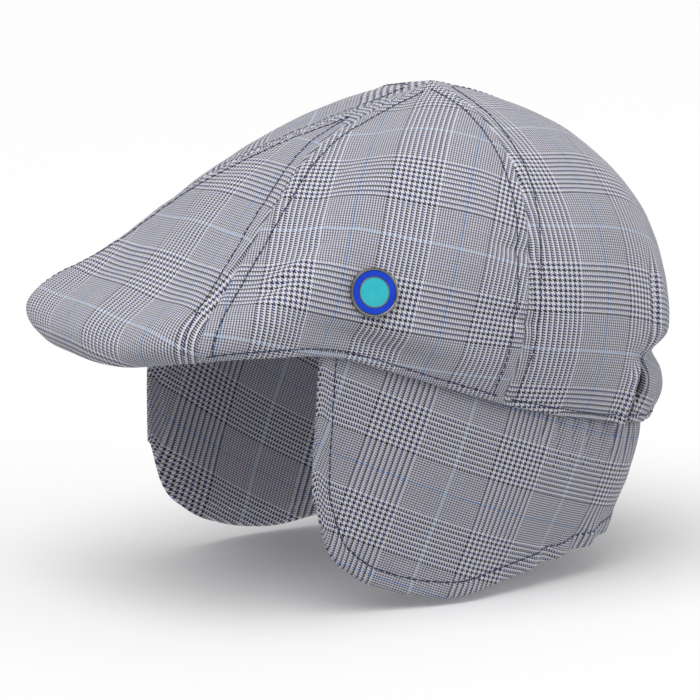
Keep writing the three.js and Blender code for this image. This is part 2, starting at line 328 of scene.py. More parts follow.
def flatten(points, rounds=200):
    """Lay a grid of points flat, keeping its lengths as nearly as it can."""
    rows, cols = points.shape[:2]
    index = np.arange(rows * cols).reshape(rows, cols)
    pairs = np.concatenate([
        np.stack([index[:, :-1].ravel(), index[:, 1:].ravel()], 1),
        np.stack([index[:-1].ravel(), index[1:].ravel()], 1),
        np.stack([index[:-1, :-1].ravel(), index[1:, 1:].ravel()], 1),
        np.stack([index[:-1, 1:].ravel(), index[1:, :-1].ravel()], 1)])
    place = points.reshape(-1, 3)
    a, b = pairs.T
    length = np.linalg.norm(place[a] - place[b], axis=1)
    middle = cols // 2
    across = np.linalg.norm(np.diff(points, axis=1), axis=2).cumsum(1)
    across = np.concatenate([np.zeros((rows, 1)), across], 1)
    across -= across[:, middle:middle + 1]
    depth = np.linalg.norm(np.diff(points[:, middle], axis=0), axis=1).cumsum()
    depth = np.concatenate([[0.0], depth])
    guess = np.stack([across, np.repeat(-depth[:, None], cols, 1)], -1).reshape(-1, 2)
    count = rows * cols
    weight = 1 / length
    system = np.zeros((count, count))
    np.add.at(system, (a, a), weight)
    np.add.at(system, (b, b), weight)
    np.add.at(system, (a, b), -weight)
    np.add.at(system, (b, a), -weight)
    system += 1e-9 * np.eye(count)
    pinned = index[rows // 2, middle]
    system[pinned, pinned] += weight.sum()
    solver = np.linalg.inv(system)
    held = guess[pinned].copy()
    for _ in range(rounds):
        edge = guess[a] - guess[b]
        edge *= (weight * length / np.maximum(np.linalg.norm(edge, axis=1), 1e-9))[:, None]
        pull = np.zeros((count, 2))
        np.add.at(pull, a, edge)
        np.add.at(pull, b, -edge)
        pull[pinned] += weight.sum() * held
        guess = solver @ pull
    return guess.reshape(rows, cols, 2)


def smooth_weights(count, places):
    """Weights that carry values at even knots over 0..1 to places on a smooth curve."""
    x = np.clip(places, 0, 1) * (count - 1)
    i = np.clip(np.floor(x).astype(int), 0, count - 2)
    t = x - i
    weights = np.zeros((len(places), count + 2))
    rows = np.arange(len(places))
    weights[rows, i] += -0.5 * t + t**2 - 0.5 * t**3
    weights[rows, i + 1] += 1 - 2.5 * t**2 + 1.5 * t**3
    weights[rows, i + 2] += 0.5 * t + 2 * t**2 - 1.5 * t**3
    weights[rows, i + 3] += -0.5 * t**2 + 0.5 * t**3
    inner = weights[:, 1:-1].copy()
    inner[:, 0] += 2 * weights[:, 0]
    inner[:, 1] -= weights[:, 0]
    inner[:, -1] += 2 * weights[:, -1]
    inner[:, -2] -= weights[:, -1]
    return inner


def nearest_on(line, points):
    """Distance of points from a line of points in the plane, and how far along it they are."""
    start, step = line[:-1], np.diff(line, axis=0)
    length = np.maximum(np.linalg.norm(step, axis=1), 1e-9)
    along = np.concatenate([[0.0], length.cumsum()])[:-1]
    flat = points.reshape(-1, 2)
    best = np.full(len(flat), np.inf)
    where = np.zeros(len(flat))
    for i in range(len(start)):
        offset = flat - start[i]
        t = np.clip(offset @ step[i] / length[i]**2, 0, 1)
        gap = np.linalg.norm(offset - t[:, None] * step[i], axis=1)
        nearer = gap < best
        best[nearer] = gap[nearer]
        where[nearer] = (along[i] + t * length[i])[nearer]
    return best.reshape(points.shape[:-1]), where.reshape(points.shape[:-1])


class Cloth:
    """A sheet of cloth: its face on a fine grid, and the same grid laid flat, in mm."""

    def __init__(self, face, a_places, b_places, knots=(27, 21)):
        a, b = np.meshgrid(a_places, b_places)
        self.a, self.b = a, b
        self.base = face(a, b)
        self.normal = normals_of(face, a, b)
        knot_b, knot_a = even(knots[0]), even(knots[1])
        coarse = flatten(face(*np.meshgrid(knot_a, knot_b)))
        down, over = smooth_weights(knots[0], b_places), smooth_weights(knots[1], a_places)
        self.flat = np.stack([down @ coarse[..., k] @ over.T for k in (0, 1)], -1)
        self.threads = self.flat
        self.height = np.zeros(a.shape)
        # Mask of painted shade inside the nape's slot, from 0 to 1
        self.inside = np.zeros(a.shape)

    def mirror(self):
        """The same sheet on the other half of the cap."""
        twin = object.__new__(Cloth)
        flip = np.array([-1.0, 1.0, 1.0])
        twin.a, twin.b = 1 - self.a[:, ::-1], self.b[:, ::-1]
        twin.base = self.base[:, ::-1] * flip
        twin.normal = self.normal[:, ::-1] * flip
        twin.flat = self.flat[:, ::-1] * flip[:2]
        twin.threads = self.threads[:, ::-1]
        twin.height = np.zeros(self.a.shape)
        twin.inside = np.zeros(self.a.shape)
        return twin

    def lay(self, name):
        """Place the cloth's threads on the sheet."""
        x, y = self.flat[..., 0], self.flat[..., 1]
        out = []
        for start, turn, spread, across, skew, along in LAYS[name]:
            turn = math.radians(turn)
            out.append(start + spread * (math.cos(turn) * x + math.sin(turn) * y)
                       + (across * x * x + skew * x * y + along * y * y) / BEND_REACH**2)
        self.threads = np.stack(out, -1)

    def edge(self, name):
        return {"first": self.flat[:, 0], "last": self.flat[:, -1],
                "top": self.flat[0], "rim": self.flat[-1]}[name]

    def outer(self):
        return self.base + self.normal * self.height[..., None]

    def place(self, flat_points, lift):
        """Points of the finished face over points of the flat cloth, with their normals."""
        outer = self.outer()
        rows, cols = self.a.shape
        flat = self.flat.reshape(-1, 2)
        found, normals = [], []
        for point in flat_points:
            k = int(np.argmin(((flat - point)**2).sum(1)))
            i, j = min(max(k // cols, 1), rows - 2), min(max(k % cols, 1), cols - 2)
            over = self.flat[i, j + 1] - self.flat[i, j - 1]
            down = self.flat[i + 1, j] - self.flat[i - 1, j]
            shares = np.linalg.solve(np.stack([over, down], 1), point - self.flat[i, j])
            shares = np.clip(shares, -1.2, 1.2)
            place = (outer[i, j] + shares[0] * (outer[i, j + 1] - outer[i, j - 1])
                     + shares[1] * (outer[i + 1, j] - outer[i - 1, j]))
            found.append(place + self.normal[i, j] * lift)
            normals.append(self.normal[i, j])
        return np.array(found), np.array(normals)


# Relief of the cloth

def wander(t, seed):
    """Slow, even wandering between about -1 and 1 along t, in mm."""
    return (np.sin(t / 9.1 + seed * 1.7) + np.sin(t / 5.3 + seed * 2.9)
            + np.sin(t / 14.7 + seed * 0.6)) / 2.2


def stitch_pull(along):
    """How hard each stitch of a row pulls the cloth in, from 0.5 to 1."""
    return 0.75 + 0.25 * np.cos(2 * math.pi * along / STITCH_PITCH)


def seam_relief(away, along, seed):
    """Raised allowance between a seam and its stitching, with puckers round it."""
    raised = 0.28 * (1 - smooth_step(away, STITCH_OFFSET - 0.5, STITCH_OFFSET + 1.9))
    groove = -0.70 * hump(away, 0.0, 0.55)
    dip = -0.38 * stitch_pull(along) * hump(away, STITCH_OFFSET, 0.65)
    wave = np.sin((along + 0.5 * away) / 1.9 + 2 * wander(along, seed + 2))
    strength = 0.14 * (0.55 + 0.45 * wander(along, seed))
    return raised + groove + dip + strength * wave * hump(away, STITCH_OFFSET, 4.4)


def hem_relief(away, along, seed, stitch, rise):
    """Folded hem that stands rise mm high, with a row of stitching."""
    raised = rise * (1 - smooth_step(away, stitch - 0.4, stitch + 1.5))
    dip = -0.55 * stitch_pull(along) * hump(away, stitch, 0.75)
    wave = np.sin((along + 0.4 * away) / 1.9 + 2 * wander(along, seed + 1))
    strength = 0.26 * (0.5 + 0.5 * wander(along, seed))
    return raised + dip + strength * wave * hump(away, stitch, 3.0)


def edge_round(away, radius):
    """How far a face turns in towards the sheet's middle near its edge."""
    inside = np.clip(radius - away, 0, radius)
    return radius - np.sqrt(np.maximum(radius**2 - inside**2, 0))


def softness(points, seed=0.0):
    """Broad, shallow unevenness of worn cloth, even across the seams."""
    x, y, z = points[..., 0], points[..., 1], points[..., 2]
    broad = np.sin(0.071 * x + 0.052 * y + 1.3 + seed) * np.sin(0.083 * z - 0.045 * y + 0.4)
    middling = np.sin(0.13 * y + 0.09 * z + 2.1 + seed) * np.sin(0.11 * x - 0.08 * z)
    small = np.sin(0.31 * y + 0.23 * z) * np.sin(0.27 * z - 0.17 * x + 1.0 + seed)
    return 0.42 * broad + 0.22 * middling + 0.10 * small


# Creases and dents of the left side: middle, the way it runs, length, width, height
CREASES = [
    ((75.5, -55.5, 28.0), (0.15, 0.93, -0.34), 20.0, 4.2, -2.8),
    ((76.5, -54.0, 36.5), (0.15, 0.95, -0.27), 24.0, 5.0, 1.6),
    ((76.1, -57.2, 39.2), (0.0, 0.5, -0.8), 5.0, 2.4, -1.6),
    ((64.0, -92.0, 53.2), (0.3, 0.75, 0.58), 14.0, 2.8, -1.4),
    ((61.8, -81.0, 60.0), (0.1, 0.80, 0.55), 16.0, 3.0, 1.3),
    ((60.6, -69.0, 67.0), (0.0, 0.85, 0.50), 16.0, 3.0, -1.3),
    ((82.5, 1.6, 60.9), (0.0, 0.90, -0.40), 9.0, 2.8, -1.5),
    ((88.9, 0.7, 34.3), (0.0, 0.92, -0.35), 9.0, 2.8, -1.5),
    ((84.0, -30.0, 26.0), (0.1, 0.95, -0.28), 26.0, 7.0, 1.1),
    ((73.7, 73.2, 33.0), (-0.2, 0.15, 0.97), 22.0, 2.0, -2.4),
    ((70.0, 77.5, 31.0), (-0.2, 0.15, 0.97), 22.0, 3.4, 1.5),
]


def creases(points, right):
    """Creases and dents. The right side has its own, a little further along and fainter."""
    total = np.zeros(points.shape[:-1])
    for middle, way, length, width, height in CREASES:
        middle, way = np.array(middle), np.array(way) / np.linalg.norm(way)
        if right:
            middle = middle * (-1.0, 1.0, 1.0) + np.array((0.0, 9.0, 4.0))
            way = way * (-1.0, 1.0, 1.0)
            height = 0.6 * height
        offset = points - middle
        run = offset @ way
        gap2 = np.maximum((offset**2).sum(-1) - run**2, 0)
        total += height * np.exp(-(run / length)**2 - gap2 / width**2)
    return total


def nape_folds(at, points, seed):
    """The elastic tunnel at the nape: it is gathered, and drawn in along its upper edge.

    At its start a deep slot is folded in. Also returns how far inside that slot the cloth is,
    from 0 to 1: a mask of painted shade, where the cloth's colour is darkened.
    """
    place = np.abs(at)
    height = (points[..., 2] - rim_point(place)[..., 2]) / TUNNEL_HEIGHT
    along = (1 - place) / (1 - TUNNEL_START)
    start = smooth_step(place, TUNNEL_START - 0.004, TUNNEL_START + 0.020)
    broad = smooth_step(place, TUNNEL_START - 0.035, TUNNEL_START + 0.06)
    count = 5.6 * along + 0.22 * np.sin(7.1 * along + 2.2 * height + seed) + 0.10 * height
    fold = np.abs(np.sin(math.pi * count))**0.75
    fine_count = 11.3 * along + 0.3 * np.sin(9 * along + seed) - 0.2 * height
    fine = np.abs(np.sin(math.pi * fine_count))
    puff = start * hump(height, 0.38, 0.36) * (TUNNEL_PUFF - 0.9 + 1.8 * fold + 0.5 * fine)
    pinch = -broad * NAPE_PINCH * hump(height, 0.94, 0.21)
    rising = broad * hump(height, 1.35, 0.32) * (1.8 * fold - 1.2)
    rearward = (0.966 - 0.066 * smooth_step(height, 0.62, 1.0) - along) * TUNNEL_RUN
    tall = 1 - smooth_step(height, 0.66, 1.04)
    deep = 1.8 * smooth_step(height, -0.1, 0.1) + 7.5 * smooth_step(height, 0.22, 0.46)
    lip = 1.8 * hump(rearward, -2.8, 1.6)
    slot = (lip - deep * hump(rearward, 0.0, np.where(rearward < 0, 0.9, 1.8))) * tall
    reach = 1.5 + 2.0 * smooth_step(height, 0.25, 0.5)
    # How far inside the slot the cloth is: the mask of painted shade
    inside = hump(rearward, 0.0, np.where(rearward < 0, 0.7, reach))
    inside = inside * tall * smooth_step(height, -0.05, 0.15)
    knot = -1.3 * hump((along - 0.97) * TUNNEL_RUN, 0.0, 3.0) * hump(height, 0.93, 0.10)
    return puff + pinch + rising + slot + knot, inside


def dress_crown(cloth, at, seed, right):
    """Relief of one panel of the crown."""
    top = np.linalg.norm(cloth.base - (0.0, CROWN_BACK, CROWN_HEIGHT), axis=-1)
    fade = 0.35 + 0.65 * smooth_step(top, 8.0, 40.0)
    for k, name in enumerate(("first", "last")):
        away, along = nearest_on(cloth.edge(name), cloth.flat)
        cloth.height += seam_relief(away, along, seed + 3 * k) * fade
    away, along = nearest_on(cloth.edge("rim"), cloth.flat)
    front = smooth_step(np.abs(at), 0.30, 0.40)
    cloth.height += hem_relief(away, along, seed + 7, RIM_STITCH, 0.5) * front
    cloth.rim = edge_round(away, CROWN_WALL / 2)
    folds, cloth.inside = nape_folds(at, cloth.base, seed)
    cloth.height += folds
    cloth.height += softness(cloth.base) + creases(cloth.base, right)
    cloth.height += 0.5 * hump(top, 0.0, 5.0) - 0.4 * hump(top, 0.0, 1.6)


# Meshes

def grid_faces(rows, cols, start=0, flip=False):
    index = start + np.arange(rows * cols).reshape(rows, cols)
    corners = [index[:-1, :-1], index[:-1, 1:], index[1:, 1:], index[1:, :-1]]
    if flip:
        corners = corners[::-1]
    return np.stack([c.ravel() for c in corners], 1)


def make_mesh(name, points, faces, material, threads=None, scale=0.001):
    """A smooth mesh object from points in mm. threads are the cloth's own coordinates."""
    mesh = bpy.data.meshes.new(name)
    size = faces.shape[1]
    mesh.vertices.add(len(points))
    mesh.vertices.foreach_set("co", (points * scale).astype(np.float32).ravel())
    mesh.loops.add(faces.size)
    mesh.loops.foreach_set("vertex_index", faces.astype(np.int32).ravel())
    mesh.polygons.add(len(faces))
    mesh.polygons.foreach_set("loop_start", np.arange(0, faces.size, size, dtype=np.int32))
    mesh.polygons.foreach_set("use_smooth", np.ones(len(faces), bool))
    mesh.update(calc_edges=True)
    mesh.validate()
    if threads is not None:
        layer = mesh.uv_layers.new(name="threads")
        layer.data.foreach_set("uv", threads[faces.ravel()].astype(np.float32).ravel())
    mesh.materials.append(material)
    piece = bpy.data.objects.new(name, mesh)
    bpy.context.scene.collection.objects.link(piece)
    return piece


def shell(name, outer, inner, threads, material):
    """A closed sheet of cloth between an outer and an inner face of the same grid."""
    rows, cols = outer.shape[:2]
    count = rows * cols
    points = np.concatenate([outer.reshape(-1, 3), inner.reshape(-1, 3)])
    uv = np.concatenate([threads.reshape(-1, 2)] * 2)
    front = grid_faces(rows, cols, 0, True)
    back = grid_faces(rows, cols, count)
    index = np.arange(count).reshape(rows, cols)
    ring = np.concatenate([index[0, :-1], index[:-1, -1], index[-1, :0:-1], index[:0:-1, 0]])
    after = np.roll(ring, -1)
    side = np.stack([ring, after, after + count, ring + count], 1)
    return make_mesh(name, points, np.concatenate([front, back, side]), material, uv)


def crown_piece(name, cloth, material):
    """One panel of the crown. Its inner face follows the outer one's relief by about half."""
    lift = cloth.height - cloth.rim
    outer = cloth.base + cloth.normal * lift[..., None]
    depth = 0.55 * (cloth.height - np.minimum(cloth.height, 0) * 0.4) - CROWN_WALL + cloth.rim
    depth = np.minimum(depth, lift - 0.05)
    inner = cloth.base + cloth.normal * depth[..., None]
    piece = shell(name, outer, inner, cloth.threads, material)
    # The slot's mask of painted shade goes to the material as a point attribute
    layer = piece.data.attributes.new("painted_fold_shade", "FLOAT", "POINT")
    layer.data.foreach_set("value", np.tile(cloth.inside.ravel(), 2).astype(np.float32))
    return piece


def stitch_row(line, normals, width):
    """Points and faces of one row of stitches along a line, in mm."""
    along = arc_length(line)
    if along[-1] < 2 * STITCH_PITCH:
        return None

    def sample(places, values):
        return np.stack([np.interp(places, along, values[:, k]) for k in range(3)], -1)

    # Rings along one stitch: place along it, width and height
    shares = np.array([-0.5, -0.42, -0.22, 0.0, 0.22, 0.42, 0.5])
    widths = np.array([0.25, 0.75, 1.0, 1.0, 1.0, 0.75, 0.25]) * width / 2
    heights = np.array([-0.30, -0.10, 0.03, 0.09, 0.03, -0.10, -0.30])
    middles = np.arange(STITCH_PITCH, along[-1] - 0.6 * STITCH_PITCH, STITCH_PITCH)
    places = middles[:, None] + shares[None] * STITCH_LENGTH
    normal = sample(places, normals)
    normal /= np.linalg.norm(normal, axis=-1, keepdims=True)
    tangent = sample(places + 0.2, line) - sample(places - 0.2, line)
    tangent /= np.maximum(np.linalg.norm(tangent, axis=-1, keepdims=True), 1e-9)
    side = np.cross(normal, tangent)
    centre = sample(places, line) + normal * heights[None, :, None]
    centre = centre + side * (shares * STITCH_SLANT * STITCH_LENGTH)[None, :, None]
    sides, rings = 6, len(shares)
    turn = np.linspace(0, 2 * math.pi, sides + 1)[:-1]
    spoke = (side[:, :, None] * np.cos(turn)[None, None, :, None]
             + normal[:, :, None] * np.sin(turn)[None, None, :, None] * 0.8)
    points = centre[:, :, None] + spoke * widths[None, :, None, None]
    ring = np.arange(sides)
    faces = []
    for k in range(rings - 1):
        here, after = k * sides + ring, k * sides + np.roll(ring, -1)
        faces.append(np.stack([here, after, after + sides, here + sides], 1))
    end = np.array([[0, 1, 2, 3], [0, 3, 4, 5]])
    faces += [end[:, ::-1], end + (rings - 1) * sides]
    faces = np.concatenate(faces)
    starts = np.arange(len(middles)) * sides * rings
    faces = (faces[None] + starts[:, None, None]).reshape(-1, 4)
    return points.reshape(-1, 3), faces


def stitches(name, rows, material):
    """All rows of stitches of one thread as one piece."""
    points, faces, start = [], [], 0
    for row in rows:
        if row is not None:
            points.append(row[0])
            faces.append(row[1] + start)
            start += len(row[0])
    return make_mesh(name, np.concatenate(points), np.concatenate(faces), material)


def inset_line(line, offset, first=0.0):
    """Points of a flat line, and the same points moved offset to its left."""
    along = arc_length(line)
    places = np.arange(along[-1] * first, along[-1], LINE_STEP)
    points = np.stack([np.interp(places, along, line[:, k]) for k in (0, 1)], -1)
    way = np.gradient(points, axis=0)
    way /= np.linalg.norm(way, axis=1, keepdims=True)
    return points, points + offset * np.stack([-way[:, 1], way[:, 0]], -1)


def inset_rows(cloth, edge, offset, keep_off, first=0.0):
    """Rows of stitches at one distance inside an edge, broken where another edge is near."""
    line = cloth.edge(edge)
    points, inset = inset_line(line, offset, first)
    middle = cloth.flat[cloth.a.shape[0] // 2, cloth.a.shape[1] // 2]
    if ((middle - points) * (inset - points)).sum(1).mean() < 0:
        inset = 2 * points - inset
    fits = nearest_on(line, inset)[0] > offset - 0.25
    for other, least in keep_off:
        fits &= nearest_on(cloth.edge(other), inset)[0] > least
    rows = []
    runs = np.split(np.arange(len(inset)), np.where(np.diff(fits.astype(int)) != 0)[0] + 1)
    for run in runs:
        if fits[run[0]] and len(run) > 6:
            rows.append(stitch_row(*cloth.place(inset[run], SEAM_STITCH_LIFT), SEAM_STITCH_WIDTH))
    return rows


# Materials

class Tree:
    """Short words for building a material's nodes."""

    def __init__(self, name):
        self.material = bpy.data.materials.new(name)
        self.material.use_nodes = True
        self.tree = self.material.node_tree
        self.shader = self.tree.nodes["Principled BSDF"]

    def node(self, kind, **settings):
        node = self.tree.nodes.new(kind)
        for key, value in settings.items():
            setattr(node, key, value)
        return node

    def plug(self, value, socket):
        if isinstance(value, bpy.types.NodeSocket):
            self.tree.links.new(value, socket)
        else:
            socket.default_value = value

    def math(self, operation, *values):
        node = self.node("ShaderNodeMath", operation=operation)
        for k, value in enumerate(values):
            self.plug(value, node.inputs[k])
        return node.outputs[0]

    def mix(self, share, first, second):
        node = self.node("ShaderNodeMix", data_type="RGBA")
        self.plug(share, node.inputs[0])
        self.plug(first, node.inputs[6])
        self.plug(second, node.inputs[7])
        return node.outputs[2]

    def noise(self, coordinates, scale, detail=2.0):
        node = self.node("ShaderNodeTexNoise")
        self.plug(coordinates, node.inputs["Vector"])
        node.inputs["Scale"].default_value = scale
        node.inputs["Detail"].default_value = detail
        return node.outputs["Fac"]

    def range(self, value, low, high):
        node = self.node("ShaderNodeMapRange")
        self.plug(value, node.inputs[0])
        node.inputs[3].default_value = low
        node.inputs[4].default_value = high
        return node.outputs[0]

    def bump(self, height, strength, distance, under=None):
        node = self.node("ShaderNodeBump")
        node.inputs["Strength"].default_value = strength
        node.inputs["Distance"].default_value = distance
        self.plug(height, node.inputs["Height"])
        if under is not None:
            self.plug(under, node.inputs["Normal"])
        return node.outputs["Normal"]

    def base(self, **values):
        for name, value in values.items():
            self.plug(value, self.shader.inputs[name.replace("_", " ")])


def colour(red, green, blue):
    """An sRGB colour given in 0..255 as the shader's own numbers."""
    share = [c / 255 for c in (red, green, blue)]
    return [c / 12.92 if c < 0.04045 else ((c + 0.055) / 1.055)**2.4 for c in share] + [1.0]


PALE = colour(237, 235, 244)
BLACK = colour(50, 46, 54)
NAVY = colour(60, 71, 114)
SKY = colour(186, 210, 236)
BLUE = colour(90, 138, 190)
MIDDLE = colour(164, 163, 174)


def thread_colour(tree, index, repeat, line_colour, soften):
    """Colour of one thread by its number in the repeat. Finer stripes are softened."""
    middle = CHECK + (repeat - CHECK) // 2
    number = tree.math("FLOORED_MODULO", tree.math("ADD", index, float(middle)), float(repeat))
    in_check = tree.math("LESS_THAN", number, float(CHECK))
    outside = tree.math("SUBTRACT", 1.0, in_check)
    wide = tree.math("LESS_THAN", tree.math("FLOORED_MODULO", number, 2 * WIDE), WIDE)
    fine = tree.math("LESS_THAN", tree.math("FLOORED_MODULO", number, 2 * FINE), FINE)
    dark = tree.math("ADD", tree.math("MULTIPLY", in_check, wide),
                     tree.math("MULTIPLY", outside, fine))
    # Every other wide dark stripe is navy, and the rest are black.
    second = tree.math("GREATER_THAN", tree.math("FLOORED_MODULO", number, 4 * WIDE),
                       2 * WIDE - 0.5)
    cloth = tree.mix(dark, PALE, tree.mix(second, BLACK, NAVY))
    cloth = tree.mix(tree.math("MULTIPLY", outside, soften), cloth, MIDDLE)
    gap = tree.math("ABSOLUTE", tree.math("SUBTRACT", number, float(middle)))
    line = tree.math("LESS_THAN", gap, LINE_THREADS / 2)
    return tree.mix(line, cloth, line_colour)


def thread_round(tree, place):
    """Rounded height across one thread."""
    return tree.math("SINE", tree.math("MULTIPLY", tree.math("FRACT", place), math.pi))


# The last argument darkens a whole copy of the cloth, as painted shade.
def check_cloth(name, seed, painted_shade=1.0):
    """Worsted glen check, woven thread by thread in a two and two twill.

    Inside the nape's deep slot the cloth's colour is darkened as painted shade, by a mask
    that a point attribute carries from 0 to 1.
    """
    tree = Tree(name)
    layer = tree.node("ShaderNodeUVMap", uv_map="threads")
    split = tree.node("ShaderNodeSeparateXYZ")
    tree.tree.links.new(layer.outputs["UV"], split.inputs[0])
    place = tree.node("ShaderNodeTexCoord").outputs["Object"]
    warp_place = tree.math("DIVIDE", split.outputs[0], THREAD)
    weft_place = tree.math("DIVIDE", split.outputs[1], THREAD)
    warp = tree.math("FLOOR", warp_place)
    weft = tree.math("FLOOR", weft_place)
    step = tree.math("ADD", warp, tree.math("ADD", weft, TWILL / 2))
    twill = tree.math("FLOORED_MODULO", step, TWILL)
    on_top = tree.math("LESS_THAN", twill, TWILL / 2 - 0.5)
    below = tree.math("SUBTRACT", 1.0, on_top)
    warp_colour = thread_colour(tree, warp, WARP_REPEAT, BLUE, 0.42)
    weft_colour = thread_colour(tree, weft, WEFT_REPEAT, SKY, 0.12)
    woven = tree.mix(on_top, weft_colour, warp_colour)
    height = tree.math("ADD", tree.math("MULTIPLY", on_top, thread_round(tree, warp_place)),
                       tree.math("MULTIPLY", below, thread_round(tree, weft_place)))
    # Painted shade: each thread is darker at its sides, where it dips under its neighbours, and
    # lighter along its crown
    depth = tree.range(height, 0.80 * painted_shade, 1.04 * painted_shade)
    fuzz = tree.noise(place, 900.0, 3.0)
    worn = tree.noise(place, 28.0 + seed, 3.0)
    light = tree.math("MULTIPLY", depth, tree.range(fuzz, 0.88, 1.12))
    light = tree.math("MULTIPLY", light, tree.range(worn, 0.95, 1.05))
    # Painted shade: inside the nape's slot the colour is darkened down to 0.14
    folded = tree.node("ShaderNodeAttribute", attribute_name="painted_fold_shade").outputs["Fac"]
    light = tree.math("MULTIPLY", light, tree.range(folded, 1.0, 0.14))
    grey = tree.node("ShaderNodeCombineColor")
    for k in range(3):
        tree.plug(light, grey.inputs[k])
    shaded = tree.node("ShaderNodeMix", data_type="RGBA", blend_type="MULTIPLY")
    shaded.inputs[0].default_value = 1.0
    tree.plug(woven, shaded.inputs[6])
    tree.plug(grey.outputs[0], shaded.inputs[7])
    normal = tree.bump(tree.noise(place, 160.0, 2.0), 0.20, 0.0006)
    normal = tree.bump(height, 0.45, 0.00010, normal)
    normal = tree.bump(fuzz, 0.25, 0.00012, normal)
    tree.base(Base_Color=shaded.outputs[2], Roughness=tree.range(fuzz, 0.80, 0.98), Normal=normal,
              Sheen_Weight=0.25, Sheen_Roughness=0.45, Specular_IOR_Level=0.25)
    return tree.material


def thread_material(name):
    """Navy sewing thread, twisted and slightly shiny."""
    tree = Tree(name)
    place = tree.node("ShaderNodeTexCoord").outputs["Object"]
    twist = tree.node("ShaderNodeTexWave")
    tree.plug(place, twist.inputs["Vector"])
    twist.inputs["Scale"].default_value = 900.0
    twist.inputs["Distortion"].default_value = 2.0
    fibre = tree.noise(place, 1500.0, 2.0)
    tree.base(Base_Color=tree.mix(fibre, colour(20, 26, 56), colour(44, 54, 94)),
              Roughness=tree.range(fibre, 0.45, 0.70),
              Normal=tree.bump(twist.outputs["Fac"], 0.5, 0.00008),
              Sheen_Weight=0.15, Sheen_Roughness=0.4)
    return tree.material


def metal_material(name):
    """Polished nickel with faint rubbing and smudges, its colour darkened as a painted dark
    reflection.
    """
    tree = Tree(name)
    place = tree.node("ShaderNodeTexCoord").outputs["Object"]
    smudge = tree.noise(place, 120.0, 4.0)
    rub = tree.noise(place, 2600.0, 2.0)
    # Both colours are darker than bright nickel: a painted dark reflection, mixed in smudges
    tree.base(Base_Color=tree.mix(smudge, colour(106, 107, 100), colour(158, 158, 150)),
              Roughness=tree.range(smudge, 0.14, 0.30),
              Normal=tree.bump(rub, 0.12, 0.00003), Metallic=1.0)
    return tree.material


def enamel_material(name, deep, light, seed):
    """Glassy enamel, with slow unevenness and a fine grain."""
    tree = Tree(name)
    place = tree.node("ShaderNodeTexCoord").outputs["Object"]
    pool = tree.noise(place, 170.0 + seed, 3.0)
    grain = tree.noise(place, 1400.0, 2.0)
    tree.base(Base_Color=tree.mix(pool, deep, light),
              Roughness=tree.range(grain, 0.18, 0.34),
              Normal=tree.bump(pool, 0.10, 0.0002), Coat_Weight=0.45, Coat_Roughness=0.06,
              Specular_IOR_Level=0.2)
    return tree.material


# The cap

def cloth_size(cloth):
    """Width, length and area of the flat cut, in metres."""
    flat = cloth.flat * 0.001
    size = flat.reshape(-1, 2).max(0) - flat.reshape(-1, 2).min(0)
    ring = np.concatenate([flat[0, :-1], flat[:-1, -1], flat[-1, :0:-1], flat[:0:-1, 0]])
    after = np.roll(ring, -1, axis=0)
    area = abs((ring[:, 0] * after[:, 1] - ring[:, 1] * after[:, 0]).sum()) / 2
    return (float(size[0]), float(size[1])), float(area)


def seat(piece, slot, *nodes):
    """The piece rides on the body and stands for CAD nodes, which are hidden. The slot is not
    used.
    """
    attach(piece, "root")
    if nodes:
        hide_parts(*nodes)
    return piece


crown_cloth = check_cloth("crown_cloth", 0.0)
peak_cloth = check_cloth("peak_cloth", 2.0)
# The flap's copy of the cloth is painted darker, as painted shade under the crown's rim
flap_cloth = check_cloth("flap_cloth", 4.0, 0.92)
thread = thread_material("navy_thread")

# The crown's rows stand a little closer together by the rim, and its columns by the seams
# and, on the back panels, by the slot of the nape.
crown_rows = 1 - (1 - even(184))**1.12
BY_SEAMS = ((0.0, 0.07), (1.0, 0.07))
BY_SLOT = (0.46, 0.06)

built = {}
seam_rows = []
rim_rows = []

front = Cloth(crown_part(on_right(front_seam), front_seam), columns(170, *BY_SEAMS), crown_rows)
front.lay("front")
side = Cloth(crown_part(front_seam, rear_seam), columns(170, *BY_SEAMS), crown_rows)
side.lay("side")
back = Cloth(crown_part(rear_seam, nape), columns(220, BY_SLOT, *BY_SEAMS), crown_rows)
back.lay("back")

# Each panel: name, cloth, its lines on the crown, the seed of its puckers, on the right side
PANELS = [
    ("front_panel", front, on_right(front_seam), front_seam, 1.0, False),
    ("side_panel_left", side, front_seam, rear_seam, 2.0, False),
    ("side_panel_right", side.mirror(), on_right(rear_seam), on_right(front_seam), 12.0, True),
    ("back_panel_left", back, rear_seam, nape, 3.0, False),
    ("back_panel_right", back.mirror(), on_right(nape), on_right(rear_seam), 13.0, True),
]
for name, cloth, first, last, seed, right in PANELS:
    at, _ = crown_at(cloth.a, cloth.b, first, last)
    dress_crown(cloth, at, seed, right)
    piece = seat(crown_piece(name + "_cloth", cloth, crown_cloth), "crown_cloth", name)
    built[name] = (piece, cloth)
    for edge, other in (("first", "last"), ("last", "first")):
        seam_rows += inset_rows(cloth, edge, STITCH_OFFSET,
                                ((other, STITCH_OFFSET), ("rim", 1.5)), first=0.015)
    if name != "front_panel":
        rim_rows += inset_rows(cloth, "rim", RIM_STITCH, (("first", 0.6), ("last", 0.6)))

seat(stitches("seam_stitches", seam_rows, thread), "crown_cloth")
seat(stitches("rim_stitches", rim_rows, thread), "crown_cloth")

